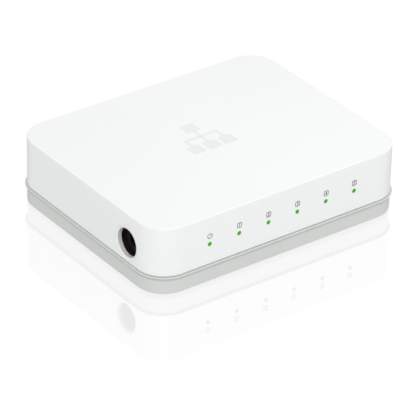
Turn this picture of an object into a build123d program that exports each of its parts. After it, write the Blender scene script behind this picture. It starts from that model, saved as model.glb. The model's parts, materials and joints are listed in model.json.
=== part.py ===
from build123d import *
import math
import os

# Five-port desktop network switch: a white cover over a grey tray, with a circuit board between them.
# Millimetres. X runs along the front, -Y is the front with the lamps, +Y is the back with the ports,
# and Z = 0 is the desk under the rubber feet.

# Case outline and levels
COVER_WIDTH = 124.7
COVER_DEPTH = 99.8
CORNER_RADIUS = 12.5
FOOT_STAND = 1.05
TRAY_HEIGHT = 7.9
CASE_HEIGHT = 30.1
WALL = 2.2
SEAM_GAP = 0.25
TRAY_FLOOR_Z = FOOT_STAND
LIP_TOP_Z = FOOT_STAND + TRAY_HEIGHT
SEAM_Z = LIP_TOP_Z + SEAM_GAP
TOP_Z = FOOT_STAND + CASE_HEIGHT
HALF_WIDTH = COVER_WIDTH / 2
HALF_DEPTH = COVER_DEPTH / 2

# Sign on the cover: one square joined to three
SIGN_X = -2.0
SIGN_Y = 3.4
SIGN_SINK = 0.03
SIGN_SQUARE = 6.4
SIGN_BAR = 1.5
SIGN_STEP = 7.9
SIGN_RISE = 7.8

# Cover details
TOP_EDGE_RADIUS = 0.5
COVER_HEM_RADIUS = 0.25
INNER_TOP_RADIUS = 0.8
RABBET_WALL = 1.15
RABBET_HEIGHT = 2.0
RIB_WIDTH = 1.2
RIB_DROP = 2.6

# Tray details
TRAY_OUT_TOP = 0.05
TRAY_INNER_INSET = 2.3
TRAY_FLOOR = 2.0
TRAY_HEM_RADIUS = 0.5
LIP_OUT = 0.85
LIP_THICKNESS = 0.55
LIP_EDGE_RADIUS = 0.22
TONGUE_INSET = 1.3
TONGUE_HEIGHT = 1.8

# Circuit board
BOARD_THICKNESS = 1.6
JACK_AXIS_ABOVE_BOARD = 6.1
JACK_Z = 17.6
BOARD_TOP = JACK_Z - JACK_AXIS_ABOVE_BOARD
BOARD_BOTTOM = BOARD_TOP - BOARD_THICKNESS
BOARD_WIDTH = 114.0
BOARD_DEPTH = 91.6
BOARD_CORNER = 8.0
SOLDER_PROUD = 1.0
LEG_END_Z = BOARD_BOTTOM - SOLDER_PROUD

# Case screws, one near each corner
SCREW_X = 51.5
SCREW_Y = 39.5
POST_RADIUS = 3.6
SCREW_RADIUS = 1.45
SCREW_HOLE_RADIUS = 1.7
PILOT_RADIUS = 1.5
HEAD_RADIUS = 2.75
HEAD_HEIGHT = 1.9
HEAD_WELL_RADIUS = 3.1
HEAD_SEAT_Z = 3.4
SCREW_LENGTH = 16.0
PILOT_TOP_Z = 21.0

# Rubber feet
FOOT_X = 38.0
FOOT_Y = 38.0
FOOT_RADIUS = 4.5
FOOT_SINK = 1.1

# Label on the underside
LABEL_WIDTH = 62.0
LABEL_DEPTH = 30.0
LABEL_Y = 6.0
LABEL_SINK = 0.3
LABEL_THICKNESS = 0.2

# Status lamps and their light pipe
LAMP_COUNT = 6
LAMP_PITCH = 14.57
LAMP_Z = 18.45
LAMP_TIP_RADIUS = 0.9
LAMP_HOLE_RADIUS = 0.97
PIPE_LEG_Y = -44.4
PIPE_LEG_HALF = 1.2
LAMP_XS = [(n - (LAMP_COUNT - 1) / 2) * LAMP_PITCH for n in range(LAMP_COUNT)]

# Network ports along the back
PORT_COUNT = 5
PORT_PITCH = 18.6
PORT_WIDTH = 15.24
PORT_HEIGHT = 13.3
PORT_LENGTH = 16.0
PORT_PROUD = 0.2
PORT_FACE_Y = HALF_DEPTH + PORT_PROUD
PORT_XS = [(n - (PORT_COUNT - 1) / 2) * PORT_PITCH for n in range(PORT_COUNT)]
SOCKET_WIDTH = 11.9
SOCKET_DEPTH = 13.0
SOCKET_LOW_Z = 15.5
SOCKET_HIGH_Z = 22.5
LATCH_WIDTH = 6.2
LATCH_LOW_Z = 13.8
LATCH_STEP_WIDTH = 3.6
LATCH_STEP_LOW_Z = 12.6
WINDOW_GAP = 0.25
WIRE_COUNT = 8
WIRE_PITCH = 1.02
WIRE_WIDTH = 0.46
WIRE_SLOT_WIDTH = 0.66
WIRE_SLOT_TOP_Z = 24.0
WIRE_PIVOT_BACK = 2.5
WIRE_PIVOT_Z = 22.95
WIRE_LENGTH = 8.0
WIRE_SLOPE = 20.0
TAIL_Z = 23.55
TAIL_NEAR = 14.1
TAIL_FAR = 15.1

# Power inlet in the left wall
JACK_Y = -29.55
JACK_HOLE_RADIUS = 6.3
JACK_RIM_DEPTH = 0.3
JACK_RIM_WIDTH = 0.9
RIM_GROOVE_RADIUS = 7.3
RIM_GROOVE_WIDTH = 0.35
RIM_GROOVE_DEPTH = 0.2
COLLAR_DEPTH = 2.05
COLLAR_RADIUS = 7.2
COLLAR_POCKET_RADIUS = 7.5
COLLAR_LENGTH = 2.55
COLLAR_BORE_RADIUS = 6.05
COLLAR_BORE_DEPTH = 1.75
JACK_BORE_RADIUS = 3.2
JACK_BORE_DEPTH = 9.4
JACK_BLOCK_LENGTH = 11.0
JACK_BLOCK_WIDTH = 9.6
JACK_BLOCK_TOP = 5.2
JACK_FRONT_X = -HALF_WIDTH + COLLAR_DEPTH + 0.1
JACK_FACE_X = JACK_FRONT_X + COLLAR_BORE_DEPTH
JACK_BLOCK_X = JACK_FRONT_X + COLLAR_LENGTH
JACK_BACK_X = JACK_BLOCK_X + JACK_BLOCK_LENGTH
PLUG_PIN_RADIUS = 1.05
PIN_SHANK_RADIUS = 1.3
LEAF_PIVOT_X = JACK_FACE_X + 10.0
LEAF_PIVOT_Z = JACK_Z - 3.9
LEAF_WIDTH = 2.2

# Parts on the board
TRANSFORMER_Y = 24.0
TRANSFORMER_WIDTH = 15.1
TRANSFORMER_DEPTH = 9.4
TRANSFORMER_HEIGHT = 5.7
CHIP_SIZE = 14.0
CHIP_X = 6.0
CHIP_Y = -4.0
CHIP_HEIGHT = 1.5
CHIP_STANDOFF = 0.1


def block(x, y, z):
    """A box from three (low, high) pairs."""
    sizes = [high - low for low, high in (x, y, z)]
    centre = [(low + high) / 2 for low, high in (x, y, z)]
    return Pos(*centre) * Box(*sizes)


def centred_block(centre, width, depth, z_low, height):
    """A box standing on z_low, with its plan centred at (x, y)."""
    return Pos(centre[0], centre[1], z_low + height / 2) * Box(width, depth, height)


def rod(start, end, radius):
    """A round bar from one point to another."""
    start, end = Vector(*start), Vector(*end)
    plane = Plane(origin=start, z_dir=end - start)
    return extrude(plane * Circle(radius), (end - start).length)


def outline(inset, z):
    """The case's rounded outline at one level, moved in by inset."""
    shape = RectangleRounded(
        COVER_WIDTH - 2 * inset, COVER_DEPTH - 2 * inset, CORNER_RADIUS - inset
    )
    return Plane.XY.offset(z) * shape


def outline_block(inset, z_low, z_high):
    """A prism on the case's outline, moved in by inset."""
    return extrude(outline(inset, z_low), z_high - z_low)


def together(solids):
    """Separate solids kept apart in one node."""
    return Compound(children=list(solids))


def corners(x, y):
    """The four places at plus and minus x and y."""
    return [(sx * x, sy * y) for sx in (-1, 1) for sy in (-1, 1)]


def gull_lead(width, reach, top, foot):
    """One bent chip lead leaving at +X: out, down to the board, and out again along a foot."""
    thickness = 0.18
    knee = reach - foot
    profile = Polyline(
        (0, top),
        (knee, top),
        (knee + 0.15, thickness),
        (reach, thickness),
        (reach, 0),
        (knee - 0.03, 0),
        (knee - 0.18, top - thickness),
        (0, top - thickness),
        close=True,
    )
    face = Plane.XZ.offset(-width / 2) * make_face(profile)
    return extrude(face, width)


def lead_row(count, pitch, lead):
    """A row of leads side by side along Y."""
    return [Pos(0, (n - (count - 1) / 2) * pitch, 0) * lead for n in range(count)]


def chip_leads(centre, half_width, half_depth, rows, lead):
    """Leads on two or four sides of a chip. rows holds (turn in degrees, count, pitch)."""
    placed = []
    for turn, count, pitch in rows:
        out = half_width if turn in (0, 180) else half_depth
        for one in lead_row(count, pitch, lead):
            placed.append(
                Pos(centre[0], centre[1], BOARD_TOP) * Rot(0, 0, turn) * Pos(out, 0, 0) * one
            )
    return placed


# ---- Case ----


def top_cover():
    """The white cover: a five-walled shell with lamp holes, port windows and the power hole."""
    cover = outline_block(0, SEAM_Z, TOP_Z)
    cover = fillet(cover.faces().sort_by(Axis.Z)[-1].edges(), TOP_EDGE_RADIUS)
    cover = fillet(cover.faces().sort_by(Axis.Z)[0].edges(), COVER_HEM_RADIUS)
    ceiling_z = TOP_Z - WALL
    cavity = outline_block(WALL, SEAM_Z, ceiling_z)
    cavity = fillet(cavity.faces().sort_by(Axis.Z)[-1].edges(), INNER_TOP_RADIUS)
    cover -= cavity
    cover -= outline_block(RABBET_WALL, SEAM_Z, SEAM_Z + RABBET_HEIGHT)
    cover += cover_ribs(ceiling_z)
    for x, y in corners(SCREW_X, SCREW_Y):
        cover += rod((x, y, BOARD_TOP + 0.05), (x, y, ceiling_z + 0.5), POST_RADIUS)
        cover -= rod((x, y, BOARD_TOP), (x, y, PILOT_TOP_Z), PILOT_RADIUS)
    cover = cut_power_hole(cover)
    for x in LAMP_XS:
        cover -= rod((x, -HALF_DEPTH - 1, LAMP_Z), (x, -HALF_DEPTH + WALL + 1, LAMP_Z), LAMP_HOLE_RADIUS)
    cover -= extrude(Plane.XY.offset(TOP_Z - SIGN_SINK) * Pos(SIGN_X, SIGN_Y) * network_sign(), 1)
    return cut_port_windows(cover)


def network_sign():
    """The plain network sign's outline: a square above, a bar, and three squares below it."""
    square = RectangleRounded(SIGN_SQUARE, SIGN_SQUARE, 0.7)
    sign = Pos(0, SIGN_RISE) * square
    sign += Pos(0, SIGN_RISE / 2) * Rectangle(SIGN_BAR, SIGN_RISE)
    sign += Rectangle(2 * SIGN_STEP + SIGN_BAR, SIGN_BAR)
    for x in (-SIGN_STEP, 0, SIGN_STEP):
        sign += Pos(x, -SIGN_RISE) * square
        sign += Pos(x, -SIGN_RISE / 2) * Rectangle(SIGN_BAR, SIGN_RISE)
    return sign


def cover_ribs(ceiling_z):
    """Stiffening ribs under the top: two along X and three along Y, stopping short of the walls."""
    z = (ceiling_z - RIB_DROP, ceiling_z + 0.5)
    half = RIB_WIDTH / 2
    ribs = [block((-46, 46), (y - half, y + half), z) for y in (-26, 12)]
    ribs += [block((x - half, x + half), (-40, 30), z) for x in (-32, 0, 32)]
    return ribs


def cut_power_hole(cover):
    """Cuts the power hole, its dished rim, the fine groove round that, and the collar's pocket behind."""
    wall_x = -HALF_WIDTH
    inside = (wall_x + WALL + 1, JACK_Y, JACK_Z)
    cover -= rod((wall_x - 1, JACK_Y, JACK_Z), inside, JACK_HOLE_RADIUS)
    cover -= rod((wall_x + COLLAR_DEPTH, JACK_Y, JACK_Z), inside, COLLAR_POCKET_RADIUS)
    rim = Cone(JACK_HOLE_RADIUS, JACK_HOLE_RADIUS + JACK_RIM_WIDTH, JACK_RIM_DEPTH)
    cover -= Pos(wall_x + JACK_RIM_DEPTH / 2, JACK_Y, JACK_Z) * Rot(0, -90, 0) * rim
    groove = Cylinder(RIM_GROOVE_RADIUS + RIM_GROOVE_WIDTH, 2 * RIM_GROOVE_DEPTH)
    groove -= Cylinder(RIM_GROOVE_RADIUS, 2 * RIM_GROOVE_DEPTH)
    return cover - Pos(wall_x, JACK_Y, JACK_Z) * Rot(0, 90, 0) * groove


def cut_port_windows(cover):
    """Cuts a window for each port, open at the bottom so that the cover drops over the ports."""
    half = PORT_WIDTH / 2 + WINDOW_GAP
    for x in PORT_XS:
        cover -= block(
            (x - half, x + half),
            (HALF_DEPTH - WALL - 1, HALF_DEPTH + 1),
            (SEAM_Z - 1, BOARD_TOP + PORT_HEIGHT + WINDOW_GAP),
        )
    return cover


def bottom_tray():
    """The grey tray: floor, wall, outer lip, inner tongue, screw posts, port sills and vents."""
    tray = loft([outline(0, TRAY_FLOOR_Z), outline(-TRAY_OUT_TOP, LIP_TOP_Z - 0.2)], ruled=True)
    tray = fillet(tray.faces().sort_by(Axis.Z)[0].edges(), TRAY_HEM_RADIUS)
    lip = outline_block(-LIP_OUT, LIP_TOP_Z - LIP_THICKNESS, LIP_TOP_Z)
    level_edges = lip.edges().filter_by(lambda e: abs(e.bounding_box().size.Z) < 1e-3)
    tray += fillet(level_edges, LIP_EDGE_RADIUS)
    tongue_top = LIP_TOP_Z + TONGUE_HEIGHT
    tray += outline_block(TONGUE_INSET, LIP_TOP_Z - 1, tongue_top)
    floor_top = TRAY_FLOOR_Z + TRAY_FLOOR
    tray -= outline_block(TRAY_INNER_INSET, floor_top, tongue_top + 1)
    tray -= tongue_gaps(tongue_top)
    tray += [port_sill(x) for x in PORT_XS]
    tray += board_rests(floor_top)
    for x, y in corners(SCREW_X, SCREW_Y):
        tray += rod((x, y, floor_top - 0.5), (x, y, BOARD_BOTTOM), POST_RADIUS + 0.4)
        tray -= rod((x, y, TRAY_FLOOR_Z - 1), (x, y, BOARD_BOTTOM + 1), SCREW_HOLE_RADIUS)
        tray -= rod((x, y, TRAY_FLOOR_Z - 1), (x, y, HEAD_SEAT_Z), HEAD_WELL_RADIUS)
    for x, y in corners(FOOT_X, FOOT_Y):
        tray -= rod((x, y, TRAY_FLOOR_Z - 1), (x, y, TRAY_FLOOR_Z + FOOT_SINK), FOOT_RADIUS + 0.1)
    tray -= centred_block((0, LABEL_Y), LABEL_WIDTH + 0.6, LABEL_DEPTH + 0.6, 0, TRAY_FLOOR_Z + LABEL_SINK)
    return tray - vent_slots()


def tongue_gaps(tongue_top):
    """Gaps in the tongue where the ports and the power inlet reach the wall."""
    z = (LIP_TOP_Z, tongue_top + 1)
    half = PORT_WIDTH / 2 + 0.6
    gaps = [block((x - half, x + half), (HALF_DEPTH - 4, HALF_DEPTH), z) for x in PORT_XS]
    reach = COLLAR_POCKET_RADIUS + 1.3
    gaps.append(block((-HALF_WIDTH, -HALF_WIDTH + 5), (JACK_Y - reach, JACK_Y + reach), z))
    return gaps


def port_sill(x):
    """The part of the tray's wall that fills the port window below the port."""
    half = PORT_WIDTH / 2 + 0.1
    return block(
        (x - half, x + half),
        (HALF_DEPTH - TRAY_INNER_INSET, HALF_DEPTH - 0.1),
        (LIP_TOP_Z - 0.5, BOARD_TOP - 0.15),
    )


def board_rests(floor_top):
    """Cross-shaped pillars that hold the board up between the screws."""
    rests = []
    for x, y in ((0, 31), (-44, -20), (0, -38), (44, -10), (0, -12)):
        z = (floor_top - 0.5, BOARD_BOTTOM)
        rests.append(block((x - 2.5, x + 2.5), (y - 0.6, y + 0.6), z))
        rests.append(block((x - 0.6, x + 0.6), (y - 2.5, y + 2.5), z))
    return rests


def vent_slots():
    """Two banks of cooling slots through the floor, in front of and behind the label."""
    slots = []
    for bank_y, length, count in ((-25, 18, 15), (33, 10, 11)):
        plan = SlotOverall(length, 2.0, rotation=90)
        for n in range(count):
            x = (n - (count - 1) / 2) * 4.5
            slots.append(extrude(Plane.XY.offset(-1) * Pos(x, bank_y) * plan, 6))
    return slots


def rubber_foot(x, y):
    """A stick-on rubber foot in its recess, with a soft lower edge."""
    foot = rod((x, y, 0), (x, y, TRAY_FLOOR_Z + FOOT_SINK), FOOT_RADIUS)
    return fillet(foot.edges().sort_by(Axis.Z)[0], 0.3)


def case_screws():
    """Four self-tapping screws: cross-slotted pan heads, threaded shanks shown as rings, and points."""
    return together(case_screw(x, y) for x, y in corners(SCREW_X, SCREW_Y))


def case_screw(x, y):
    head_z = HEAD_SEAT_Z - HEAD_HEIGHT
    head = rod((x, y, head_z), (x, y, HEAD_SEAT_Z), HEAD_RADIUS)
    head = fillet(head.edges().sort_by(Axis.Z)[0], 0.6)
    core = SCREW_RADIUS - 0.25
    screw = head + rod((x, y, HEAD_SEAT_Z), (x, y, HEAD_SEAT_Z + SCREW_LENGTH - 1.5), core)
    tip_z = HEAD_SEAT_Z + SCREW_LENGTH - 0.75
    screw += Pos(x, y, tip_z) * Cone(core, 0.2, 1.5)
    for n in range(9):
        ring_z = BOARD_TOP + 0.4 + n * 0.75
        screw += rod((x, y, ring_z), (x, y, ring_z + 0.3), SCREW_RADIUS)
    for width, depth in ((2.8, 0.7), (0.7, 2.8)):
        screw -= centred_block((x, y), width, depth, head_z - 0.1, 1.2)
    return screw


def underside_label():
    """A thin blank label in its recess under the tray."""
    plan = RectangleRounded(LABEL_WIDTH, LABEL_DEPTH, 1.5)
    z = TRAY_FLOOR_Z + LABEL_SINK - LABEL_THICKNESS
    return extrude(Plane.XY.offset(z) * Pos(0, LABEL_Y) * plan, LABEL_THICKNESS)


# ---- Network ports ----


def wire_xs(x):
    """Where the eight contact wires of the port at x lie."""
    return [x + (n - (WIRE_COUNT - 1) / 2) * WIRE_PITCH for n in range(WIRE_COUNT)]


def tail_backs():
    """How far behind the port's face each wire's tail goes down: two staggered rows."""
    return [TAIL_NEAR if n % 2 else TAIL_FAR for n in range(WIRE_COUNT)]


def port_housing(x):
    """A plastic port: stepped socket, a slot for each contact wire, and two pegs into the board."""
    face = PORT_FACE_Y
    half = PORT_WIDTH / 2
    housing = block((x - half, x + half), (face - PORT_LENGTH, face), (BOARD_TOP, BOARD_TOP + PORT_HEIGHT))
    upright = housing.edges().filter_by(Axis.Y)
    housing = fillet(upright, 0.3)
    inside = (face - SOCKET_DEPTH, face + 1)
    for width, low, high in (
        (SOCKET_WIDTH, SOCKET_LOW_Z, SOCKET_HIGH_Z),
        (LATCH_WIDTH, LATCH_LOW_Z, SOCKET_LOW_Z + 0.1),
        (LATCH_STEP_WIDTH, LATCH_STEP_LOW_Z, LATCH_LOW_Z + 0.1),
    ):
        housing -= block((x - width / 2, x + width / 2), inside, (low, high))
    mouth = housing.faces().sort_by(Axis.Y)[-1].inner_wires()[0].edges()
    housing = chamfer(mouth, 0.35)
    slot_half = WIRE_SLOT_WIDTH / 2
    for wire_x, back in zip(wire_xs(x), tail_backs()):
        across = (wire_x - slot_half, wire_x + slot_half)
        tail = (face - back - 0.4, face - back + 0.4)
        housing -= block(across, (tail[0], face - 1.8), (SOCKET_HIGH_Z - 0.05, WIRE_SLOT_TOP_Z))
        housing -= block(across, tail, (BOARD_TOP - 1, WIRE_SLOT_TOP_Z))
    for peg_x in (x - 5.7, x + 5.7):
        housing += rod((peg_x, face - 9, BOARD_TOP + 0.5), (peg_x, face - 9, LEG_END_Z), 1.55)
    return housing


def port_contacts(x):
    """The eight sprung wires of one port, each sloping back and down into the socket."""
    slope = math.radians(WIRE_SLOPE)
    middle_y = PORT_FACE_Y - WIRE_PIVOT_BACK - WIRE_LENGTH / 2 * math.cos(slope)
    middle_z = WIRE_PIVOT_Z - WIRE_LENGTH / 2 * math.sin(slope)
    side = Plane.YZ * Pos(middle_y, middle_z) * Rot(0, 0, WIRE_SLOPE)
    wires = []
    for wire_x in wire_xs(x):
        plan = side * SlotCenterToCenter(WIRE_LENGTH, WIRE_WIDTH)
        wires.append(Pos(wire_x - WIRE_WIDTH / 2, 0, 0) * extrude(plan, WIRE_WIDTH))
    return together(wires)


def port_tails(x):
    """The fixed ends of the contact wires: back along the roof of the port and down through the board."""
    tails = []
    for wire_x, back in zip(wire_xs(x), tail_backs()):
        start = (wire_x, PORT_FACE_Y - WIRE_PIVOT_BACK, TAIL_Z)
        bend = (wire_x, PORT_FACE_Y - back, TAIL_Z)
        path = FilletPolyline(start, bend, (wire_x, PORT_FACE_Y - back, LEG_END_Z), radius=0.35)
        section = Plane(origin=start, z_dir=(0, -1, 0)) * Circle(WIRE_WIDTH / 2)
        tails.append(sweep(section, path))
    return together(tails)


# ---- Power inlet ----


def power_jack_body():
    """The black inlet: a round collar behind the cover's hole, and a block soldered to the board."""
    axis_start = (JACK_FRONT_X, JACK_Y, JACK_Z)
    body = rod(axis_start, (JACK_BLOCK_X, JACK_Y, JACK_Z), COLLAR_RADIUS)
    half = JACK_BLOCK_WIDTH / 2
    body += block(
        (JACK_BLOCK_X - 0.4, JACK_BACK_X),
        (JACK_Y - half, JACK_Y + half),
        (BOARD_TOP, JACK_Z + JACK_BLOCK_TOP),
    )
    body -= rod(axis_start, (JACK_FACE_X, JACK_Y, JACK_Z), COLLAR_BORE_RADIUS)
    bore_end = JACK_FACE_X + JACK_BORE_DEPTH
    body -= rod((JACK_FACE_X - 1, JACK_Y, JACK_Z), (bore_end, JACK_Y, JACK_Z), JACK_BORE_RADIUS)
    body -= rod((bore_end - 1, JACK_Y, JACK_Z), (JACK_BACK_X + 1, JACK_Y, JACK_Z), PIN_SHANK_RADIUS)
    well = LEAF_WIDTH / 2 + 0.2
    body -= block(
        (JACK_FACE_X + 1.4, LEAF_PIVOT_X + 0.6),
        (JACK_Y - well, JACK_Y + well),
        (LEAF_PIVOT_Z - 1.3, JACK_Z - 2.0),
    )
    return body - power_jack_terminal()


def power_jack_pin():
    """The stepped centre pin, with a rounded tip, and its leg down through the board."""
    back = JACK_BACK_X + 0.9
    pin = rod((JACK_FACE_X + 0.6, JACK_Y, JACK_Z), (back, JACK_Y, JACK_Z), PLUG_PIN_RADIUS)
    pin = fillet(pin.edges().sort_by(Axis.X)[0], 0.6)
    bore_end = JACK_FACE_X + JACK_BORE_DEPTH
    pin += rod((bore_end, JACK_Y, JACK_Z), (back, JACK_Y, JACK_Z), PIN_SHANK_RADIUS)
    return pin + block(
        (JACK_BACK_X + 0.1, back), (JACK_Y - 1.3, JACK_Y + 1.3), (LEG_END_Z, JACK_Z + 1.3)
    )


def power_jack_spring():
    """The sprung leaf that presses on the plug's sleeve from below."""
    leaf_profile = Polyline(
        (LEAF_PIVOT_X, LEAF_PIVOT_Z + 0.15),
        (LEAF_PIVOT_X - 6.6, LEAF_PIVOT_Z + 1.4),
        (LEAF_PIVOT_X - 8.0, LEAF_PIVOT_Z + 0.75),
        (LEAF_PIVOT_X - 7.9, LEAF_PIVOT_Z + 0.45),
        (LEAF_PIVOT_X - 6.6, LEAF_PIVOT_Z + 1.1),
        (LEAF_PIVOT_X, LEAF_PIVOT_Z - 0.15),
        close=True,
    )
    side = Plane.XZ.offset(-JACK_Y - LEAF_WIDTH / 2)
    leaf = extrude(side * make_face(leaf_profile), LEAF_WIDTH)
    low_y = JACK_Y - LEAF_WIDTH / 2
    root = rod((LEAF_PIVOT_X, low_y, LEAF_PIVOT_Z), (LEAF_PIVOT_X, low_y + LEAF_WIDTH, LEAF_PIVOT_Z), 0.3)
    return leaf + root


def power_jack_terminal():
    """The fixed leg under the sprung leaf's root, down through the board."""
    return block(
        (LEAF_PIVOT_X - 0.4, LEAF_PIVOT_X + 0.4),
        (JACK_Y - 1.1, JACK_Y + 1.1),
        (LEG_END_Z, LEAF_PIVOT_Z - 0.4),
    )


# ---- Lamps ----


def status_lamp(x):
    """A surface-mounted lamp: a white base with a clear block on it."""
    base = centred_block((x, PIPE_LEG_Y), 2.0, 1.25, BOARD_TOP, 0.35)
    return base + centred_block((x, PIPE_LEG_Y), 1.4, 1.15, BOARD_TOP + 0.35, 0.45)


def light_pipe():
    """One clear moulding: a leg over each lamp that turns to a round tip in the cover, and a tie bar."""
    ends = (LAMP_XS[0] - 3, LAMP_XS[-1] + 3)
    pipe = block(ends, (PIPE_LEG_Y - 0.7, PIPE_LEG_Y + 0.7), (14.4, 15.8))
    for x in LAMP_XS:
        pipe += pipe_leg(x)
    return pipe


def pipe_leg(x):
    """One leg with a mirror slope at its top, a shoulder against the wall, and a tip."""
    back = PIPE_LEG_Y + PIPE_LEG_HALF
    front = PIPE_LEG_Y - PIPE_LEG_HALF
    top = LAMP_Z + PIPE_LEG_HALF
    foot_z = BOARD_TOP + 1.1
    profile = Polyline(
        (front, foot_z), (back, foot_z), (back, top - 2.0), (back - 2.0, top), (front, top), close=True
    )
    leg = Pos(x - PIPE_LEG_HALF, 0, 0) * extrude(Plane.YZ * make_face(profile), 2 * PIPE_LEG_HALF)
    inner_wall_y = -HALF_DEPTH + WALL
    leg += rod((x, inner_wall_y + 0.05, LAMP_Z), (x, front + 0.2, LAMP_Z), 1.15)
    tip = rod((x, -HALF_DEPTH - 0.12, LAMP_Z), (x, inner_wall_y + 0.5, LAMP_Z), LAMP_TIP_RADIUS)
    return leg + fillet(tip.edges().sort_by(Axis.Y)[0], 0.22)


# ---- Circuit board and what it carries ----


def circuit_board():
    """The board, with its screw holes and a hole for every leg, peg and wire that goes through it."""
    plan = RectangleRounded(BOARD_WIDTH, BOARD_DEPTH, BOARD_CORNER)
    holes = [Pos(x, y) * Circle(SCREW_HOLE_RADIUS) for x, y in corners(SCREW_X, SCREW_Y)]
    for x in PORT_XS:
        for wire_x, back in zip(wire_xs(x), tail_backs()):
            holes.append(Pos(wire_x, PORT_FACE_Y - back) * Circle(WIRE_WIDTH / 2 + 0.12))
        for peg_x in (x - 5.7, x + 5.7):
            holes.append(Pos(peg_x, PORT_FACE_Y - 9) * Circle(1.65))
    holes.append(Pos(JACK_BACK_X + 0.5, JACK_Y) * Rectangle(1.2, 3.0))
    holes.append(Pos(LEAF_PIVOT_X, JACK_Y) * Rectangle(1.2, 2.6))
    return extrude(Plane.XY.offset(BOARD_BOTTOM) * (plan - holes), BOARD_THICKNESS)


def lan_transformer(x):
    """A moulded transformer module between a port and the switch chip."""
    body = centred_block(
        (x, TRANSFORMER_Y), TRANSFORMER_WIDTH, TRANSFORMER_DEPTH, BOARD_TOP + 0.3, TRANSFORMER_HEIGHT
    )
    body = chamfer(body.faces().sort_by(Axis.Z)[-1].edges(), 0.4)
    dot_y = TRANSFORMER_Y - 3.2
    dot = rod((x - 6, dot_y, BOARD_TOP + 5.8), (x - 6, dot_y, BOARD_TOP + 7), 0.6)
    return body - dot


def transformer_leads():
    """Twelve leads along the front and back of every transformer."""
    lead = gull_lead(0.5, 1.9, 1.6, 0.9)
    rows = ((90, 12, 1.2), (270, 12, 1.2))
    leads = []
    for x in PORT_XS:
        leads += chip_leads((x, TRANSFORMER_Y), 0, TRANSFORMER_DEPTH / 2, rows, lead)
    return together(leads)


def flat_chip(centre, width, depth, height):
    """A moulded chip body with a chamfered lid and a pin-one dimple."""
    z = BOARD_TOP + CHIP_STANDOFF
    body = centred_block(centre, width, depth, z, height)
    body = chamfer(body.faces().sort_by(Axis.Z)[-1].edges(), 0.2)
    dimple = (centre[0] - width / 2 + 1.0, centre[1] - depth / 2 + 1.0)
    top = z + height
    return body - rod((*dimple, top - 0.1), (*dimple, top + 1), 0.4)


def switch_chip_leads():
    """Leads on all four sides of the switch chip."""
    lead = gull_lead(0.22, 1.3, 0.9, 0.6)
    rows = [(turn, 25, 0.5) for turn in (0, 90, 180, 270)]
    return together(chip_leads((CHIP_X, CHIP_Y), CHIP_SIZE / 2, CHIP_SIZE / 2, rows, lead))


def heat_sink():
    """A small finned heat sink on the switch chip."""
    z = BOARD_TOP + CHIP_STANDOFF + CHIP_HEIGHT + 0.5
    base = centred_block((CHIP_X, CHIP_Y), 20, 20, z, 1.6)
    fins = [
        centred_block((CHIP_X + (n - 4) * 2.4, CHIP_Y), 0.8, 20, z + 1.5, 6.0) for n in range(9)
    ]
    return base + fins


def small_chip_leads():
    """Leads of the memory chip and of the regulator."""
    lead = gull_lead(0.42, 1.1, 0.9, 0.55)
    rows = ((0, 4, 1.27), (180, 4, 1.27))
    leads = chip_leads((24, -14), 1.95, 0, rows, lead)
    leads += chip_leads((-32, -26), 1.95, 0, rows, lead)
    return together(leads)


def filter_capacitor(x, y, radius, height):
    """A can capacitor: crimped above its rubber foot, with a scored top."""
    z = BOARD_TOP
    can = rod((x, y, z + 0.3), (x, y, z + height), radius)
    can = fillet(can.edges().sort_by(Axis.Z)[-1], 0.5)
    crimp_ring = rod((x, y, z + 1.6), (x, y, z + 2.2), radius + 1) - rod(
        (x, y, z + 1), (x, y, z + 3), radius - 0.35
    )
    can -= crimp_ring
    for width, depth in ((radius * 1.2, 0.3), (0.3, radius * 1.2)):
        can -= centred_block((x, y), width, depth, z + height - 0.15, 1)
    return can + rod((x, y, z), (x, y, z + 0.4), radius - 0.6)


def power_inductor():
    """A shielded coil: a square ferrite with cut corners and a round core in its top."""
    x, y = -32, -12
    body = centred_block((x, y), 10, 10, BOARD_TOP, 4.0)
    body = chamfer(body.edges().filter_by(Axis.Z), 1.8)
    ring = rod((x, y, BOARD_TOP + 3.6), (x, y, BOARD_TOP + 5), 3.7)
    return body - (ring - rod((x, y, BOARD_TOP + 3), (x, y, BOARD_TOP + 5), 3.2))


def crystal():
    """A low metal-can crystal with a rolled flange."""
    plane = Plane.XY.offset(BOARD_TOP)
    place = Pos(24, 4)
    can = extrude(plane * place * SlotOverall(10.2, 3.8), 3.4)
    can = fillet(can.faces().sort_by(Axis.Z)[-1].edges(), 0.4)
    return can + extrude(plane * place * SlotOverall(11.4, 4.8), 0.5)


def protection_diode():
    """The diode behind the power inlet, with its two tabs."""
    body = chamfer(
        centred_block((-40, -36), 4.3, 2.6, BOARD_TOP + 0.1, 2.2).faces().sort_by(Axis.Z)[-1].edges(), 0.25
    )
    return body + centred_block((-40, -36), 5.2, 1.5, BOARD_TOP, 0.3)


def chip_row(centre, count, pitch, size):
    """A row along X of small two-ended chips of one (length, width, height)."""
    length, width, height = size
    x, y = centre
    return [
        centred_block((x + (n - (count - 1) / 2) * pitch, y), width, length, BOARD_TOP, height)
        for n in range(count)
    ]


def chip_capacitors():
    """Small capacitors round the switch chip and in front of the transformers."""
    size = (1.6, 0.8, 0.8)
    rows = [chip_row((x, 14.4), 4, 2.6, size) for x in PORT_XS]
    rows += [chip_row((CHIP_X, y), 7, 2.2, size) for y in (CHIP_Y - 12.6, CHIP_Y + 12.6)]
    rows.append(chip_row((-30, -33), 3, 2.6, (3.2, 1.6, 1.4)))
    return together(one for row in rows for one in row)


def chip_resistors():
    """Small resistors: one behind each lamp, and rows beside the switch chip."""
    size = (1.6, 0.8, 0.45)
    rows = [chip_row((x, PIPE_LEG_Y + 4.5), 1, 1, size) for x in LAMP_XS]
    rows += [chip_row((-12, y), 5, 1.8, size) for y in (-9, -4, 1)]
    rows += [chip_row((38, y), 4, 2.2, size) for y in (-14, 6)]
    return together(one for row in rows for one in row)


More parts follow.
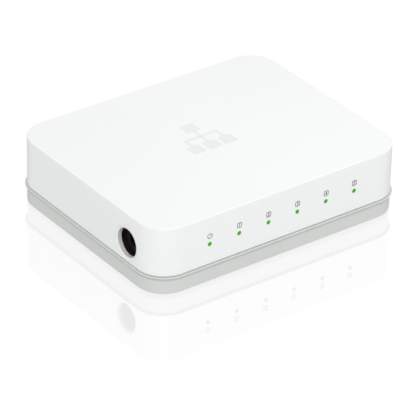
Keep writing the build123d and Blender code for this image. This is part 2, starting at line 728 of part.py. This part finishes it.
def all_parts():
    """Every node's name and shape."""
    parts = {
        "top_cover": top_cover(),
        "bottom_tray": bottom_tray(),
        "case_screws": case_screws(),
        "underside_label": underside_label(),
        "circuit_board": circuit_board(),
        "light_pipe": light_pipe(),
        "power_jack_body": power_jack_body(),
        "power_jack_pin": power_jack_pin(),
        "power_jack_spring": power_jack_spring(),
        "power_jack_terminal": power_jack_terminal(),
        "transformer_leads": transformer_leads(),
        "switch_chip": flat_chip((CHIP_X, CHIP_Y), CHIP_SIZE, CHIP_SIZE, CHIP_HEIGHT),
        "switch_chip_leads": switch_chip_leads(),
        "thermal_pad": centred_block(
            (CHIP_X, CHIP_Y), 13, 13, BOARD_TOP + CHIP_STANDOFF + CHIP_HEIGHT, 0.5
        ),
        "heat_sink": heat_sink(),
        "memory_chip": flat_chip((24, -14), 3.9, 4.9, 1.4),
        "regulator_chip": flat_chip((-32, -26), 3.9, 4.9, 1.4),
        "small_chip_leads": small_chip_leads(),
        "filter_capacitor_large": filter_capacitor(-44, -10, 4.0, 11.5),
        "filter_capacitor_small": filter_capacitor(-44, 1, 3.15, 9.0),
        "power_inductor": power_inductor(),
        "crystal": crystal(),
        "protection_diode": protection_diode(),
        "chip_capacitors": chip_capacitors(),
        "chip_resistors": chip_resistors(),
    }
    for side_y, y in (("front", -FOOT_Y), ("back", FOOT_Y)):
        for side_x, x in (("left", -FOOT_X), ("right", FOOT_X)):
            parts[f"foot_{side_y}_{side_x}"] = rubber_foot(x, y)
    lamp_names = ["power"] + [f"port_{n}" for n in range(1, PORT_COUNT + 1)]
    for name, x in zip(lamp_names, LAMP_XS):
        parts[f"lamp_{name}"] = status_lamp(x)
    for n, x in enumerate(reversed(PORT_XS), start=1):
        parts[f"port_{n}_housing"] = port_housing(x)
        parts[f"port_{n}_contacts"] = port_contacts(x)
        parts[f"port_{n}_tails"] = port_tails(x)
        parts[f"lan_transformer_{n}"] = lan_transformer(x)
    return parts


os.makedirs("parts", exist_ok=True)
for node, shape in all_parts().items():
    export_step(shape, f"parts/{node}.step")
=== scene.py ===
import json
import math

import bmesh
import bpy
from mathutils import Matrix, Vector


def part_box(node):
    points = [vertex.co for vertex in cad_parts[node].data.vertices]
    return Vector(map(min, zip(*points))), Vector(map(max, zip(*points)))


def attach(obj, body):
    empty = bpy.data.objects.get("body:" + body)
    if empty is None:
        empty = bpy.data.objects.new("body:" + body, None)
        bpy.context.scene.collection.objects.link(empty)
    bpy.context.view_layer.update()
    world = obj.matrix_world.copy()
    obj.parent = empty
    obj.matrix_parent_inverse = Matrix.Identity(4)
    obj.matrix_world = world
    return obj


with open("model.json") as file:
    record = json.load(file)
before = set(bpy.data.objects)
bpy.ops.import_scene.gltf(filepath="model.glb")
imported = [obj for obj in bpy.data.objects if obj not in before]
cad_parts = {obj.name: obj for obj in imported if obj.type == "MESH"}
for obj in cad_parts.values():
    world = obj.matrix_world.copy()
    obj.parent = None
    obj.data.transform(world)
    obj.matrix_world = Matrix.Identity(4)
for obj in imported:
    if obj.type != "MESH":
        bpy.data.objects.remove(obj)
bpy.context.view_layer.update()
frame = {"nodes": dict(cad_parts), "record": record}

MM = 0.001
MM_PER_METRE = 1000.0
NODES = frame["nodes"]
SCENE = bpy.context.scene


# ---- Camera: in front and to the left, looking down ----
# TURN, RISE and ROLL are in radians. It looks at a point AIM_HEIGHT above the middle of the desk under the
# object, moved by AIM_RIGHT and AIM_UP across its own view.

TURN = -0.648
RISE = 0.542
ROLL = 0.0249
DISTANCE = 1.3718
LENS = 286.9
AIM_HEIGHT = 0.85 * MM
AIM_RIGHT = -0.05 * MM
AIM_UP = -2.585 * MM

back = Vector((math.sin(TURN) * math.cos(RISE), -math.cos(TURN) * math.cos(RISE), math.sin(RISE)))
level = Vector((math.cos(TURN), math.sin(TURN), 0))
upright = back.cross(level)
right = math.cos(ROLL) * level + math.sin(ROLL) * upright
up = -math.sin(ROLL) * level + math.cos(ROLL) * upright
camera = bpy.data.objects.new("camera", bpy.data.cameras.new("camera"))
SCENE.collection.objects.link(camera)
camera.data.sensor_width = 36
camera.data.lens = LENS
camera.data.clip_start, camera.data.clip_end = 0.05, 20
aim = Vector((0, 0, AIM_HEIGHT)) + AIM_RIGHT * right + AIM_UP * up
turn = Matrix((right, up, back)).transposed()
camera.matrix_world = Matrix.Translation(aim + DISTANCE * back) @ turn.to_4x4()
SCENE.camera = camera
SCENE.view_settings.view_transform = "Standard"
SCENE.view_settings.look = "None"


# ---- Materials ----

# The power hole in the cover's left wall. Its cut face gets painted shade, full as far as HOLE_SHADE_FULL
# from the hole's axis and not at all past HOLE_SHADE_END. LEFT_FULL and LEFT_END keep the painted shade to
# the cover's left part.
HOLE_Y = -29.55 * MM
HOLE_Z = 17.6 * MM
HOLE_RADIUS = 6.3 * MM
HOLE_SHADE_FULL = HOLE_RADIUS + 0.05 * MM
HOLE_SHADE_END = HOLE_RADIUS + 0.35 * MM
LEFT_FULL = -50 * MM
LEFT_END = -40 * MM

# Painted shade on the tray's wall just under the lip, from SHADE_BAND_START up, in full from SHADE_BAND_FULL
# to LIP_BOTTOM.
LIP_BOTTOM = 8.4 * MM
LIP_FADE = 0.1 * MM
SHADE_BAND_START = LIP_BOTTOM - 1.5 * MM
SHADE_BAND_FULL = LIP_BOTTOM - 0.9 * MM

# The light pipe has a painted glow, standing in for the lamps behind it: full at the front wall, and none
# behind GLOW_END.
GLOW_FULL = -49.5 * MM
GLOW_END = -46.5 * MM

# Noise scales, in cells per metre
TONE_SCALE = 28.0
GLOSS_SCALE = 160.0
LINE_SCALE = 900.0


def colours_of(sockets):
    """Those sockets of a mix node that carry a colour."""
    return [s for s in sockets if s.type == "RGBA"]


class Nodes:
    """A material's node tree, with short ways to add the nodes used here."""

    def __init__(self, name):
        self.material = bpy.data.materials.new(name)
        self.material.use_nodes = True
        self.tree = self.material.node_tree
        self.shader = self.tree.nodes["Principled BSDF"]
        self.place = self.tree.nodes.new("ShaderNodeTexCoord").outputs["Object"]

    def add(self, kind, **values):
        """A new node. Each value goes into the input of that name, or else into the node's own setting."""
        node = self.tree.nodes.new(kind)
        for key, value in values.items():
            if key in node.inputs:
                node.inputs[key].default_value = value
            else:
                setattr(node, key, value)
        return node

    def link(self, start, end):
        self.tree.links.new(start, end)

    def noise(self, scale, detail=2.0, stretch=None):
        """Noise over the object, drawn out along an axis whose stretch is below 1."""
        node = self.add("ShaderNodeTexNoise", Scale=scale, Detail=detail)
        place = self.place
        if stretch:
            squeeze = self.add("ShaderNodeMapping", Scale=stretch)
            self.link(place, squeeze.inputs["Vector"])
            place = squeeze.outputs["Vector"]
        self.link(place, node.inputs["Vector"])
        return node.outputs["Fac"]

    def spread(self, value, low, high, start=0.3, end=0.7):
        """The stretch of a value from start to end, taken to low..high and held there beyond it."""
        node = self.add("ShaderNodeMapRange")
        for key, number in (("From Min", start), ("From Max", end), ("To Min", low), ("To Max", high)):
            node.inputs[key].default_value = number
        self.link(value, node.inputs["Value"])
        return node.outputs["Result"]

    def tint(self, value, dark, light):
        """A colour that goes from dark where the value is 0 to light where it is 1."""
        node = self.add("ShaderNodeMix", data_type="RGBA")
        first, second = colours_of(node.inputs)
        first.default_value = (*dark, 1)
        second.default_value = (*light, 1)
        self.link(value, node.inputs["Factor"])
        return colours_of(node.outputs)[0]

    def bump(self, height, distance, strength=1.0):
        node = self.add("ShaderNodeBump", Strength=strength, Distance=distance)
        self.link(height, node.inputs["Height"])
        return node.outputs["Normal"]

    def both(self, first, second):
        """The product of two values, which is 1 only where both are."""
        node = self.add("ShaderNodeMath", operation="MULTIPLY")
        self.link(first, node.inputs[0])
        self.link(second, node.inputs[1])
        return node.outputs["Value"]

    def axes(self):
        """The place on the object as its x, y and z."""
        split = self.add("ShaderNodeSeparateXYZ")
        self.link(self.place, split.inputs["Vector"])
        return split.outputs["X"], split.outputs["Y"], split.outputs["Z"]

    def shade(self, where, tone):
        """Multiplies the base colour by tone where the value is 1."""
        colour = self.shader.inputs["Base Color"].links[0].from_socket
        node = self.add("ShaderNodeMix", data_type="RGBA", blend_type="MULTIPLY")
        first, second = colours_of(node.inputs)
        second.default_value = (*tone, 1)
        self.link(colour, first)
        self.link(where, node.inputs["Factor"])
        self.link(colours_of(node.outputs)[0], self.shader.inputs["Base Color"])


def surface_nodes(name, colour, roughness, grain=0.3, grain_depth=0.004, vary=0.04, patchy=0.05, metal=0.0):
    """A moulded, plated or fired surface: slow tone changes, fine grain, and uneven gloss.

    grain is the grain's size and grain_depth its height, both in millimetres. vary is how far the tone runs
    from dark to light, as a share of it, and patchy how far roughness goes either way."""
    n = Nodes(name)
    slow = n.noise(TONE_SCALE, 3.0)
    light = tuple(min(1.0, c * (1 + vary / 2)) for c in colour)
    dark = tuple(c * (1 - vary / 2) for c in colour)
    n.link(n.tint(n.spread(slow, 0, 1), dark, light), n.shader.inputs["Base Color"])
    patches = n.noise(GLOSS_SCALE, 4.0)
    n.link(n.spread(patches, roughness - patchy, roughness + patchy), n.shader.inputs["Roughness"])
    fine = n.noise(MM_PER_METRE / grain, 2.0)
    n.link(n.bump(fine, grain_depth * MM), n.shader.inputs["Normal"])
    n.shader.inputs["Metallic"].default_value = metal
    return n


def surface(name, colour, roughness, **values):
    """The material of surface_nodes, where nothing more is done to it."""
    return surface_nodes(name, colour, roughness, **values).material


def cover_material():
    """White plastic, with painted shade on the cut face inside the power hole."""
    white = (0.86, 0.88, 0.87)
    n = surface_nodes("cover_white", white, 0.3, grain=0.5, grain_depth=0.0004, vary=0.008, patchy=0.012)
    x, y, z = n.axes()
    across = n.add("ShaderNodeCombineXYZ")
    n.link(y, across.inputs["Y"])
    n.link(z, across.inputs["Z"])
    reach = n.add("ShaderNodeVectorMath", operation="DISTANCE")
    n.link(across.outputs["Vector"], reach.inputs[0])
    reach.inputs[1].default_value = (0, HOLE_Y, HOLE_Z)
    hole_shade_mask = n.spread(reach.outputs["Value"], 1, 0, HOLE_SHADE_FULL, HOLE_SHADE_END)
    at_left = n.spread(x, 1, 0, LEFT_FULL, LEFT_END)
    # Painted shade: the base colour is darkened inside the hole, standing in for the shadow there.
    n.shade(n.both(hole_shade_mask, at_left), (0.82, 0.8, 0.78))
    return n.material


def tray_material():
    """Grey plastic, with painted shade along the wall's top where it runs in under the lip."""
    n = surface_nodes("tray_grey", (0.63, 0.648, 0.63), 0.5, grain_depth=0.006, vary=0.03)
    z = n.axes()[2]
    below_lip = n.spread(z, 1, 0, LIP_BOTTOM, LIP_BOTTOM + LIP_FADE)
    up_the_wall = n.spread(z, 0, 1, SHADE_BAND_START, SHADE_BAND_FULL)
    # Painted shade: the base colour is darkened in a band under the lip, standing in for the lip's shadow.
    n.shade(n.both(up_the_wall, below_lip), (0.84, 0.84, 0.84))
    return n.material


def board_material():
    """Green solder mask over copper tracks, which show as lighter, slightly raised runs."""
    n = Nodes("board")
    tracks = n.add("ShaderNodeTexBrick", Scale=220.0, offset=0.37)
    tracks.inputs["Mortar Size"].default_value = 0.04
    n.link(n.place, tracks.inputs["Vector"])
    height = tracks.outputs["Fac"]
    n.link(n.tint(height, (0.012, 0.105, 0.045), (0.03, 0.19, 0.075)), n.shader.inputs["Base Color"])
    n.link(n.bump(height, 0.03 * MM), n.shader.inputs["Normal"])
    n.link(n.spread(n.noise(300.0, 3.0), 0.28, 0.42), n.shader.inputs["Roughness"])
    return n.material


def lit_pipe_material():
    """Clear plastic with a painted green glow where it comes through the front wall, standing in for the
    lamps behind it.
    """
    n = Nodes("lit_pipe")
    forward = n.spread(n.axes()[1], 1, 0, GLOW_FULL, GLOW_END)
    n.link(n.tint(forward, (0.62, 0.8, 0.55), (0.02, 0.12, 0.0005)), n.shader.inputs["Base Color"])
    # Painted glow: the pipe's front emits the green light, and the lamps behind it give none.
    glow_unevenness = n.spread(n.noise(LINE_SCALE, 1.0), 0.85, 1.15)
    n.link(n.both(forward, glow_unevenness), n.shader.inputs["Emission Strength"])
    n.shader.inputs["Emission Color"].default_value = (0.045, 0.29, 0.0002, 1)
    n.shader.inputs["Roughness"].default_value = 0.35
    n.shader.inputs["Specular IOR Level"].default_value = 0.05
    return n.material


def port_material():
    """Black plastic with a weak shine."""
    n = surface_nodes("port_black", (0.012, 0.0065, 0.0055), 0.45, grain=0.2, grain_depth=0.005, vary=0.3)
    n.shader.inputs["Specular IOR Level"].default_value = 0.25
    return n.material


def metal(name, colour, roughness, stretch):
    """Plated or drawn metal, with fine lines along the axes whose stretch is below 1."""
    n = Nodes(name)
    lines = n.noise(LINE_SCALE, 3.0, stretch)
    dark = tuple(c * 0.86 for c in colour)
    n.link(n.tint(n.spread(lines, 0, 1), dark, colour), n.shader.inputs["Base Color"])
    n.link(n.spread(lines, roughness - 0.07, roughness + 0.08), n.shader.inputs["Roughness"])
    n.link(n.bump(lines, 0.004 * MM), n.shader.inputs["Normal"])
    n.shader.inputs["Metallic"].default_value = 1.0
    return n.material


MATERIALS = {
    "cover_plastic": cover_material(),
    "tray_plastic": tray_material(),
    "screw_steel": metal("screw_zinc", (0.6, 0.6, 0.62), 0.32, (1, 1, 0.2)),
    "label_film": surface("label_film", (0.8, 0.8, 0.79), 0.55, grain=0.2, grain_depth=0.003),
    "foot_rubber": surface("foot_rubber", (0.12, 0.12, 0.12), 0.75, grain=0.25, grain_depth=0.02, vary=0.15),
    "board_laminate": board_material(),
    "clear_plastic": lit_pipe_material(),
    "black_plastic": port_material(),
    "plated_metal": metal("tin_plate", (0.78, 0.78, 0.77), 0.25, (1, 0.2, 1)),
    "gold_plate": metal("gold_plate", (0.95, 0.68, 0.28), 0.2, (1, 0.15, 1)),
    "chip_epoxy": surface("chip_epoxy", (0.025, 0.025, 0.028), 0.55, grain=0.15, grain_depth=0.006, vary=0.3),
    "thermal_rubber": surface("thermal_pad", (0.42, 0.48, 0.58), 0.7, grain_depth=0.01, vary=0.1),
    "sink_aluminium": surface("black_anodise", (0.035, 0.035, 0.038), 0.4, grain=0.1, vary=0.2, metal=0.8),
    "capacitor_can": metal("capacitor_can", (0.74, 0.74, 0.76), 0.26, (0.3, 0.3, 1)),
    "ferrite": surface("ferrite", (0.09, 0.09, 0.095), 0.6, grain=0.12, grain_depth=0.012, vary=0.3),
    "capacitor_ceramic": surface("capacitor_ceramic", (0.5, 0.33, 0.18), 0.4, grain=0.15, vary=0.2),
    "lamp_green": surface("lamp_green", (0.35, 0.8, 0.3), 0.3, grain=0.1, grain_depth=0.003, vary=0.1),
}
for part in frame["record"]["subparts"]:
    node = NODES[part["node"]]
    node.data.materials.clear()
    node.data.materials.append(MATERIALS[part["material_slot"]])


# ---- Printed marks ----

INK_THICKNESS = 0.012 * MM
NUMERAL_SHARE = 0.7  # a numeral's height over its font size, roughly
NUMERAL_BOLDER = 0.04  # how far its outline is pushed out, over its height
JOIN_WITHIN = 0.0001 * MM


def ink(name, colour):
    return surface(name, colour, 0.45, grain=0.2, grain_depth=0.002, vary=0.06)


def prism(bm, outline, holes, thickness):
    """Adds flat-topped ink with straight sides. outline and holes are lists of (x, y)."""
    curve = bpy.data.curves.new("stroke", "CURVE")
    curve.dimensions = "2D"
    curve.fill_mode = "BOTH"
    curve.extrude = thickness / 2
    for ring in (outline, *holes):
        spline = curve.splines.new("POLY")
        spline.points.add(len(ring) - 1)
        for point, (x, y) in zip(spline.points, ring):
            point.co = (x, y, 0, 1)
        spline.use_cyclic_u = True
    maker = bpy.data.objects.new("stroke", curve)
    mesh = bpy.data.meshes.new_from_object(maker)
    bm.from_mesh(mesh)
    bpy.data.meshes.remove(mesh)
    bpy.data.objects.remove(maker)
    bpy.data.curves.remove(curve)


def rounded_box(half_x, half_y, radius, steps=6):
    """A rectangle with round corners, centred on the origin."""
    points = []
    for sx, sy, start in ((1, 1, 0), (-1, 1, 90), (-1, -1, 180), (1, -1, 270)):
        for k in range(steps + 1):
            angle = math.radians(start + 90 * k / steps)
            points.append((
                sx * (half_x - radius) + radius * math.cos(angle),
                sy * (half_y - radius) + radius * math.sin(angle),
            ))
    return points


def arc_band(inner, outer, start, end, steps=28):
    """A band of ring from one angle to another, in degrees."""
    angles = [math.radians(start + (end - start) * k / steps) for k in range(steps + 1)]
    far = [(outer * math.cos(a), outer * math.sin(a)) for a in angles]
    near = [(inner * math.cos(a), inner * math.sin(a)) for a in reversed(angles)]
    return far + near


def bar(x0, x1, y0, y1):
    return [(x0, y0), (x1, y0), (x1, y1), (x0, y1)]


def digit(bm, text, height):
    """Adds one numeral, centred on the origin."""
    curve = bpy.data.curves.new("numeral", "FONT")
    curve.body = text
    curve.size = height / NUMERAL_SHARE
    curve.offset = NUMERAL_BOLDER * height
    curve.extrude = INK_THICKNESS / 2
    maker = bpy.data.objects.new("numeral", curve)
    SCENE.collection.objects.link(maker)
    bpy.context.view_layer.update()
    mesh = bpy.data.meshes.new_from_object(maker.evaluated_get(bpy.context.evaluated_depsgraph_get()))
    xs = [v.co.x for v in mesh.vertices]
    ys = [v.co.y for v in mesh.vertices]
    mesh.transform(Matrix.Translation((-(min(xs) + max(xs)) / 2, -(min(ys) + max(ys)) / 2, 0)))
    bm.from_mesh(mesh)
    bpy.data.meshes.remove(mesh)
    bpy.data.objects.remove(maker)
    bpy.data.curves.remove(curve)


def finish_mark(name, bm, place, material):
    """Turns the drawn strokes into one piece, put where place says, riding on the case."""
    bmesh.ops.remove_doubles(bm, verts=bm.verts, dist=JOIN_WITHIN)
    bmesh.ops.recalc_face_normals(bm, faces=bm.faces)
    mesh = bpy.data.meshes.new(name)
    bm.to_mesh(mesh)
    bm.free()
    mesh.transform(place)
    mesh.materials.append(material)
    piece = bpy.data.objects.new(name, mesh)
    SCENE.collection.objects.link(piece)
    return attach(piece, "case")


def on_front(x, z):
    """Marks drawn in x, y come to stand on the front wall, centred at (x, z)."""
    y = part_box("top_cover")[0].y - INK_THICKNESS / 2
    return Matrix.Translation((x, y, z)) @ Matrix.Rotation(math.pi / 2, 4, "X")


def on_back(x, z):
    """The same for the back wall, to be read from behind."""
    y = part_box("top_cover")[1].y + INK_THICKNESS / 2
    facing = Matrix.Rotation(math.pi, 4, "Z") @ Matrix.Rotation(math.pi / 2, 4, "X")
    return Matrix.Translation((x, y, z)) @ facing


LAMP_PITCH = 14.57 * MM
LAMP_Z = 18.45 * MM
MIDDLE_LAMP = 2.5  # the lamps are counted from 0, the power lamp at the left, to 5
MARK_RISE = 3.7 * MM
RING_INSIDE = 0.92 * MM
RING_OUTSIDE = 1.25 * MM
RING_START = 125
RING_END = 415
STROKE_HALF = 0.17 * MM
STROKE_BOTTOM = 0.1 * MM
STROKE_TOP = 1.4 * MM
BADGE_OUTSIDE = (1.2 * MM, 1.25 * MM, 0.75 * MM)
BADGE_INSIDE = (0.9 * MM, 0.95 * MM, 0.5 * MM)
FRONT_NUMERAL = 1.4 * MM
BACK_NUMERAL = 2.0 * MM
BACK_RISE = 2.0 * MM
GREY_INK = ink("mark_grey", (0.1, 0.093, 0.09))
PALE_INK = ink("mark_pale", (0.78, 0.79, 0.8))


def over_lamp(n):
    """The place of the mark over lamp n."""
    return on_front((n - MIDDLE_LAMP) * LAMP_PITCH, LAMP_Z + MARK_RISE)


def power_mark():
    """A ring with a gap at its top, and an upright bar in the gap."""
    bm = bmesh.new()
    prism(bm, arc_band(RING_INSIDE, RING_OUTSIDE, RING_START, RING_END), [], INK_THICKNESS)
    prism(bm, bar(-STROKE_HALF, STROKE_HALF, STROKE_BOTTOM, STROKE_TOP), [], INK_THICKNESS)
    finish_mark("power_mark", bm, over_lamp(0), GREY_INK)


def port_mark(n):
    """A rounded square outline round the port's number."""
    bm = bmesh.new()
    prism(bm, rounded_box(*BADGE_OUTSIDE), [rounded_box(*BADGE_INSIDE)], INK_THICKNESS)
    digit(bm, str(n), FRONT_NUMERAL)
    finish_mark(f"port_{n}_mark", bm, over_lamp(n), GREY_INK)


def back_number(n):
    """The port's number above its socket."""
    low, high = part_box(f"port_{n}_housing")
    bm = bmesh.new()
    digit(bm, str(n), BACK_NUMERAL)
    finish_mark(f"port_{n}_back_number", bm, on_back((low.x + high.x) / 2, high.z + BACK_RISE), GREY_INK)


SIGN_X = -2.0 * MM
SIGN_Y = 3.4 * MM
SIGN_SINK = 0.03 * MM
SIGN_SQUARE = 6.4 * MM
SIGN_CORNER = 0.7 * MM
SIGN_BAR = 1.5 * MM
SIGN_STEP = 7.9 * MM
SIGN_RISE = 7.8 * MM


def top_emblem():
    """A pale network sign in its shallow recess: one square joined to three below it."""
    bm = bmesh.new()
    half = SIGN_SQUARE / 2
    for x, y in ((0, SIGN_RISE), (-SIGN_STEP, -SIGN_RISE), (0, -SIGN_RISE), (SIGN_STEP, -SIGN_RISE)):
        square = rounded_box(half, half, SIGN_CORNER)
        prism(bm, [(px + x, py + y) for px, py in square], [], INK_THICKNESS)
    thick = SIGN_BAR / 2
    prism(bm, bar(-thick, thick, thick, SIGN_RISE - half), [], INK_THICKNESS)
    prism(bm, bar(-SIGN_STEP - thick, SIGN_STEP + thick, -thick, thick), [], INK_THICKNESS)
    for x in (-SIGN_STEP, 0, SIGN_STEP):
        prism(bm, bar(x - thick, x + thick, half - SIGN_RISE, -thick), [], INK_THICKNESS)
    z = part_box("top_cover")[1].z - SIGN_SINK + INK_THICKNESS / 2
    finish_mark("top_emblem", bm, Matrix.Translation((SIGN_X, SIGN_Y, z)), PALE_INK)


power_mark()
for number in range(1, 6):
    port_mark(number)
    back_number(number)
top_emblem()


# ---- Floor and light ----

WALL_LIGHT = 0.89
CEILING_LIGHT = 0.77
AIR_SEEN = 1.05
FLOOR_LIGHT = 0.79
FLOOR_SEEN = 1.0
FLOOR_MIRRORED = 0.35
FLOOR_SIZE = 6
MATT_SHARE = 0.08
GLOSS_SHARE = 0.18


def strength_by_ray(tree, seen, mirrored, lighting):
    """One strength where it is seen, one where it is mirrored, and one where it lights a matt surface.

    lighting is a number or another node's output."""
    path = tree.nodes.new("ShaderNodeLightPath")
    near = tree.nodes.new("ShaderNodeMapRange")
    near.inputs["To Min"].default_value = seen
    near.inputs["To Max"].default_value = mirrored
    tree.links.new(path.outputs["Is Glossy Ray"], near.inputs["Value"])
    choice = tree.nodes.new("ShaderNodeMapRange")
    tree.links.new(near.outputs["Result"], choice.inputs["To Min"])
    if isinstance(lighting, float):
        choice.inputs["To Max"].default_value = lighting
    else:
        tree.links.new(lighting, choice.inputs["To Max"])
    tree.links.new(path.outputs["Is Diffuse Ray"], choice.inputs["Value"])
    return choice.outputs["Result"]


def floor():
    """A large white surface that glows, takes some shadow, and has a faint polish."""
    bm = bmesh.new()
    bmesh.ops.create_grid(bm, x_segments=1, y_segments=1, size=FLOOR_SIZE)
    mesh = bpy.data.meshes.new("floor")
    bm.to_mesh(mesh)
    bm.free()
    sheet = bpy.data.objects.new("floor", mesh)
    SCENE.collection.objects.link(sheet)
    n = Nodes("floor")
    tree = n.tree
    glow = n.add("ShaderNodeEmission", Color=(1, 1, 1, 1))
    strength = strength_by_ray(tree, FLOOR_SEEN, FLOOR_MIRRORED, FLOOR_LIGHT)
    n.link(strength, glow.inputs["Strength"])
    matt = n.add("ShaderNodeBsdfDiffuse", Color=(0.9, 0.9, 0.9, 1))
    gloss = n.add("ShaderNodeBsdfGlossy", Color=(1, 1, 1, 1), Roughness=0.0)
    white = n.add("ShaderNodeMixShader", Fac=MATT_SHARE)
    polished = n.add("ShaderNodeMixShader", Fac=GLOSS_SHARE)
    n.link(glow.outputs[0], white.inputs[1])
    n.link(matt.outputs[0], white.inputs[2])
    n.link(white.outputs[0], polished.inputs[1])
    n.link(gloss.outputs[0], polished.inputs[2])
    n.link(polished.outputs[0], tree.nodes["Material Output"].inputs["Surface"])
    tree.nodes.remove(n.shader)
    mesh.materials.append(n.material)


def studio_air():
    """White all round, with more light from the walls of the room than from its ceiling."""
    world = bpy.data.worlds.new("studio")
    world.use_nodes = True
    SCENE.world = world
    tree = world.node_tree
    tree.nodes["Background"].inputs["Color"].default_value = (1, 1, 1, 1)
    split = tree.nodes.new("ShaderNodeSeparateXYZ")
    tree.links.new(tree.nodes.new("ShaderNodeTexCoord").outputs["Generated"], split.inputs["Vector"])
    height = tree.nodes.new("ShaderNodeMapRange")
    height.inputs["To Min"].default_value = WALL_LIGHT
    height.inputs["To Max"].default_value = CEILING_LIGHT
    tree.links.new(split.outputs["Z"], height.inputs["Value"])
    strength = strength_by_ray(tree, AIR_SEEN, AIR_SEEN, height.outputs["Result"])
    tree.links.new(strength, tree.nodes["Background"].inputs["Strength"])


def soft_box(name, place, size, power):
    """A square area light that points at the object."""
    data = bpy.data.lights.new(name, "AREA")
    data.size = size
    data.energy = power
    lamp = bpy.data.objects.new(name, data)
    lamp.location = place
    lamp.rotation_euler = (-Vector(place)).to_track_quat("-Z", "Y").to_euler()
    SCENE.collection.objects.link(lamp)


floor()
studio_air()
soft_box("key", (-0.514, -0.846, 0.96), size=0.6, power=4.75)
soft_box("fill", (0.06, -0.06, 0.2), size=0.12, power=0.034)
